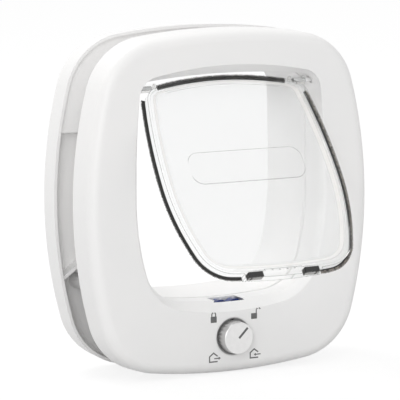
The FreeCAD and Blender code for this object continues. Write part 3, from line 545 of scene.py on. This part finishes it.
def hair_tree():
    """Nodes that stand rows of hairs along a line, outwards from the rim."""
    group = bpy.data.node_groups.new("hair_rows", "GeometryNodeTree")
    face = group.interface
    face.new_socket("Line", in_out="INPUT", socket_type="NodeSocketGeometry")
    sizes = {"Spacing": 0.24 * MM, "Length": 1.6 * MM, "Width": 1.0 * MM, "Thickness": 0.13 * MM}
    for name, size in sizes.items():
        socket = face.new_socket(name, in_out="INPUT", socket_type="NodeSocketFloat")
        socket.default_value = size
    face.new_socket("Rows", in_out="INPUT", socket_type="NodeSocketInt").default_value = 5
    face.new_socket("Finish", in_out="INPUT", socket_type="NodeSocketMaterial")
    face.new_socket("Hairs", in_out="OUTPUT", socket_type="NodeSocketGeometry")
    tree = Tree(group)
    line = tree.node("NodeGroupInput")
    spacing, length, width, thickness, rows, finish = [line.beside(name) for name in (
        "Spacing", "Length", "Width", "Thickness", "Rows", "Finish")]

    def scatter(reach, seed):
        return tree.node("FunctionNodeRandomValue", {"data_type": "FLOAT_VECTOR"}, {
            "Min": (-reach, -reach, -reach), "Max": (reach, reach, reach), "Seed": seed})

    # Points along the line, each with the direction out of the rim
    curve = tree.node("GeometryNodeMeshToCurve", None, {"Mesh": line})
    points = tree.node("GeometryNodeCurveToPoints", {"mode": "LENGTH"},
                       {"Curve": curve, "Length": spacing})
    outward = tree.vectors("CROSS_PRODUCT", points.beside("Tangent"), OUTWARDS)
    kept = tree.node("GeometryNodeStoreNamedAttribute", {"data_type": "FLOAT_VECTOR"},
                     {"Geometry": points, "Name": "outward", "Value": outward})

    # Rows of them side by side, each a little off its place
    copies = tree.node("GeometryNodeDuplicateElements", {"domain": "POINT"},
                       {"Geometry": kept, "Amount": rows})
    side = ((copies.beside("Duplicate Index") + 0.5) / rows - 0.5) * width
    row_place = tree.node("ShaderNodeCombineXYZ", None, {"Y": side})
    loose = tree.node("ShaderNodeVectorMath", {"operation": "SCALE"},
                      {0: scatter(0.5, 4), "Scale": spacing})
    roots = tree.node("GeometryNodeSetPosition", None, {
        "Geometry": copies, "Offset": tree.vectors("ADD", row_place, loose)})

    # A hair on each, leaning a little
    stored = tree.node("GeometryNodeInputNamedAttribute", {"data_type": "FLOAT_VECTOR"},
                       {"Name": "outward"})
    turn = tree.node("FunctionNodeAlignRotationToVector", {"axis": "Z"}, {
        "Vector": tree.vectors("ADD", stored, scatter(0.28, 9))})
    cone = tree.node("GeometryNodeMeshCone", {"fill_type": "TRIANGLE_FAN"}, {
        "Vertices": 3, "Radius Top": thickness * 0.35, "Radius Bottom": thickness,
        "Depth": length})
    size = tree.node("FunctionNodeRandomValue", {"data_type": "FLOAT"},
                     {2: 0.8, 3: 1.0, "Seed": 21}, out=1)
    hairs = tree.node("GeometryNodeInstanceOnPoints", None, {
        "Points": roots, "Instance": cone, "Rotation": turn, "Scale": size})
    real = tree.node("GeometryNodeRealizeInstances", None, {"Geometry": hairs})
    painted = tree.node("GeometryNodeSetMaterial", None, {"Geometry": real, "Material": finish})
    tree.node("NodeGroupOutput", None, {"Hairs": painted})
    return group


def grown_hairs(name, line, group, sizes):
    """Rows of hairs along a line, as a plain mesh."""
    path = bpy.data.meshes.new(name + "_path")
    places = [(x, HINGE.y + SEAL_MIDDLE, z) for x, z, _, _ in line]
    path.from_pydata(places, [(i, i + 1) for i in range(len(places) - 1)], [])
    carrier = placed(name + "_path", path)
    modifier = carrier.modifiers.new("hair", "NODES")
    modifier.node_group = group
    for item in group.interface.items_tree:
        if item.in_out == "INPUT" and item.name in sizes:
            modifier[item.identifier] = sizes[item.name]
    graph = bpy.context.evaluated_depsgraph_get()
    mesh = bpy.data.meshes.new_from_object(carrier.evaluated_get(graph))
    carrier.modifiers.clear()
    bpy.data.objects.remove(carrier)
    return mesh


hair_group = hair_tree()


def seal(name, node, line_at, proud, fin, pile):
    """Pile strip: black backing with two fins, and the hair that stands between them and past
    the rim."""
    strip = mesh_piece(name + "_backing", swing(backing_strip(line_at(SEAL_WIDTH), fin)), "flap",
                       backing)
    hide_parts(node)
    root = SEAL_WIDTH - CHANNEL + 0.1 * MM
    hairs = grown_hairs(name, line_at(root), hair_group, {
        "Length": root + proud, "Width": SEAL_BACK - SEAL_FRONT - 2 * FIN, "Finish": pile})
    mesh_piece(name + "_hair", swing(hairs), "flap")


# The right seal takes the lighter copy of the pile, painted light.
seal("seal_right", "flap_seal_right", right_side, 0.6 * MM, 0.9 * MM, painted_lit_hair)
seal("seal_left", "flap_seal_left", left_side, 0.5 * MM, 1.9 * MM, hair)
seal("seal_top", "flap_seal_top", top_run, 1.5 * MM, 1.9 * MM, hair)


# Guide in the sill slot, between the two cams of the lock drum

def lock_guide():
    """Navy comb whose lumps end just under the sill, seated on the slot's round walls."""
    spots = []
    for step in range(GUIDE_STEPS + 1):
        x = (step / GUIDE_STEPS - 0.5) * GUIDE_WIDTH
        dip = 0.5 - 0.5 * math.cos(2 * math.pi * (x + LUMP_SHIFT) / LUMP_PITCH)
        spots.append((x, GUIDE_TOP - LUMP_DEPTH * dip ** 1.5))
    spots.append(SHOULDER)
    for degrees in range(60, 121, 5):
        ray = cmath.rect(SLOT_ROUND_RADIUS, math.radians(degrees))
        spots.append((ray.real, SLOT_ROUND_Z + ray.imag))
    spots.append((-SHOULDER[0], SHOULDER[1]))
    build = bmesh.new()
    front = [build.verts.new((x, GUIDE_FRONT, z)) for x, z in spots]
    back = [build.verts.new((x, GUIDE_BACK, z)) for x, z in spots]
    block(build, front, back)
    mesh_piece("lock_guide", closed_mesh("lock_guide", build), "frames", navy)


lock_guide()


# Printed signs round the dial, in millimetres from each sign's lower left corner

def arc(cx, cz, radius, start, finish, steps=12):
    """Places along an arc, from one angle in degrees to another."""
    spots = []
    for step in range(steps + 1):
        ray = cmath.rect(radius, math.radians(start + (finish - start) * step / steps))
        spots.append((cx + ray.real, cz + ray.imag))
    return spots


def stroke(points, width):
    """Flat ribbon of one width along a bent line, mitred at its bends, as quads."""
    sides = []
    for index, point in enumerate(points):
        here = Vector(point)
        before = (here - Vector(points[index - 1])).normalized() if index else None
        last = index + 1 == len(points)
        after = None if last else (Vector(points[index + 1]) - here).normalized()
        run = ((before or after) + (after or before)).normalized()
        leg = after or before
        normal = Vector((-run.y, run.x))
        mitre = width / 2 / max(0.35, normal.dot(Vector((-leg.y, leg.x))))
        sides.append((here + normal * mitre, here - normal * mitre))
    return [[a[0], b[0], b[1], a[1]] for a, b in zip(sides, sides[1:])]


def rounded_block(width, height, radius=0.4):
    spots = []
    for cx, cz, start in ((width - radius, height - radius, 0), (radius, height - radius, 90),
                          (radius, radius, 180), (width - radius, radius, 270)):
        spots += arc(cx, cz, radius, start, start + 90, 4)
    return [[Vector(spot) for spot in spots]]


def arrow_head(*corners):
    return [[Vector(corner) for corner in corners]]


HOUSE = stroke([(6.6, 0), (0, 0), (0, 3.9), (3.3, 6.4), (6.6, 3.9)], 0.95)
SHACKLE = [(0.9, 4.4), (0.9, 5.9)] + arc(2.45, 5.9, 1.55, 180, 0)[1:] + [(4.0, 4.4)]
OPEN_SHACKLE = [(4.3, 4.0), (4.3, 6.1)] + arc(6.0, 6.1, 1.7, 180, 20)[1:]
SIGNS = {
    "sign_locked": (-18.6, -86.1, rounded_block(4.9, 4.5) + stroke(SHACKLE, 0.9)),
    "sign_open": (14.6, -86.1, rounded_block(4.9, 4.2) + stroke(OPEN_SHACKLE, 0.85)),
    "sign_out_only": (-19.8, -114.7, HOUSE + stroke([(3.9, 2.3), (7.6, 2.3)], 0.8)
                      + arrow_head((7.5, 1.1), (9.2, 2.3), (7.5, 3.5))),
    "sign_in_only": (13.7, -114.7, HOUSE + stroke([(4.5, 2.3), (8.6, 2.3)], 0.8)
                     + arrow_head((4.6, 3.5), (2.9, 2.3), (4.6, 1.1))),
}
INK_ROOT = 0.02 * MM
INK_HEIGHT = 0.04 * MM
AHEAD_Y = -0.1


def printed(name, x0, z0, shapes, ground):
    """A sign as a thin layer of ink laid on the cover's face."""
    build = bmesh.new()
    for shape in shapes:
        back = []
        front = []
        for spot in shape:
            x, z = (x0 + spot.x) * MM, (z0 + spot.y) * MM
            face_y = ground.ray_cast(Vector((x, AHEAD_Y, z)), Vector(OUTWARDS))[0].y
            back.append(build.verts.new((x, face_y + INK_ROOT, z)))
            front.append(build.verts.new((x, face_y - INK_HEIGHT, z)))
        block(build, front, back)
    mesh_piece(name, closed_mesh(name, build), "frames", ink)


cover_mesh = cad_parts["front_cover"].data
cover_ground = BVHTree.FromPolygons([v.co for v in cover_mesh.vertices],
                                    [p.vertices[:] for p in cover_mesh.polygons])
for sign, (sign_x, sign_z, sign_shapes) in SIGNS.items():
    printed(sign, sign_x, sign_z, sign_shapes, cover_ground)


# Studio: camera, pale room, floor and lamps

def place_camera():
    """Camera at the photograph's angle."""
    camera = bpy.data.cameras.new("camera")
    camera.sensor_width = SENSOR
    camera.lens = VIEW_LENS
    camera.clip_start = 0.05
    camera.clip_end = 50
    back = Vector((math.sin(VIEW_AZIMUTH) * math.cos(VIEW_ELEVATION),
                   -math.cos(VIEW_AZIMUTH) * math.cos(VIEW_ELEVATION),
                   math.sin(VIEW_ELEVATION)))
    across = Vector((math.cos(VIEW_AZIMUTH), math.sin(VIEW_AZIMUTH), 0))
    right = math.cos(VIEW_ROLL) * across + math.sin(VIEW_ROLL) * back.cross(across)
    turn = Matrix((right, back.cross(right), back)).transposed().to_4x4()
    holder = placed("camera", camera)
    holder.matrix_world = Matrix.Translation(VIEW_TARGET + VIEW_DISTANCE * back) @ turn
    bpy.context.scene.camera = holder


def seen_plainly(tree):
    """1 for rays that see the background itself, through glass or in a gloss too."""
    camera = tree.node("ShaderNodeLightPath", out="Is Camera Ray")
    seen = camera + camera.beside("Is Glossy Ray") + camera.beside("Is Transmission Ray")
    return tree.maths("MINIMUM", seen, 1.0)


def pale_room():
    """World that lights at one level and is seen as white."""
    world = bpy.data.worlds.new("room")
    world.use_nodes = True
    tree = Tree(world.node_tree)
    tree.nodes.nodes.clear()
    seen = seen_plainly(tree)
    light = tree.node("ShaderNodeBackground", None, {
        "Color": (1, 1, 1, 1), "Strength": seen + (1 - seen) * ROOM_LEVEL})
    tree.node("ShaderNodeOutputWorld", None, {"Surface": light})
    bpy.context.scene.world = world


def pale_floor():
    """White floor that keeps a share of the object's shadow."""
    build = bmesh.new()
    bmesh.ops.create_grid(build, x_segments=2, y_segments=2, size=FLOOR_REACH)
    mesh = bpy.data.meshes.new("floor")
    build.to_mesh(mesh)
    build.free()
    floor = placed("floor", mesh)
    floor.location.z = FLOOR_Z
    finish = Finish("floor_white")
    glow = finish.node("ShaderNodeEmission", None, {
        "Color": (1, 1, 1, 1), "Strength": 1.03 - FLOOR_SHADOW})
    lit = finish.node("ShaderNodeAddShader", None, {0: finish.matt(grey(FLOOR_SHADOW)), 1: glow})
    mesh.materials.append(finish.done(
        finish.mixed(seen_plainly(finish), finish.matt(grey(0.62)), lit)))


def lamp(name, place, width, power):
    """Round soft lamp that faces the flap."""
    light = bpy.data.lights.new(name, "AREA")
    light.shape = "DISK"
    light.size = width
    light.energy = power
    holder = placed(name, light)
    holder.location = place
    holder.rotation_mode = "QUATERNION"
    holder.rotation_quaternion = (-Vector(place)).to_track_quat("-Z", "Y")


place_camera()
pale_room()
pale_floor()
lamp("key", (-1.6, -1.9, 1.1), 1.0, 10)
lamp("low_fill", (-1.35, -2.2, 0.3), 0.9, 9.5)
lamp("back_top", (-0.6, 1.2, 2.2), 1.2, 20)
bpy.context.scene.view_settings.view_transform = "Standard"
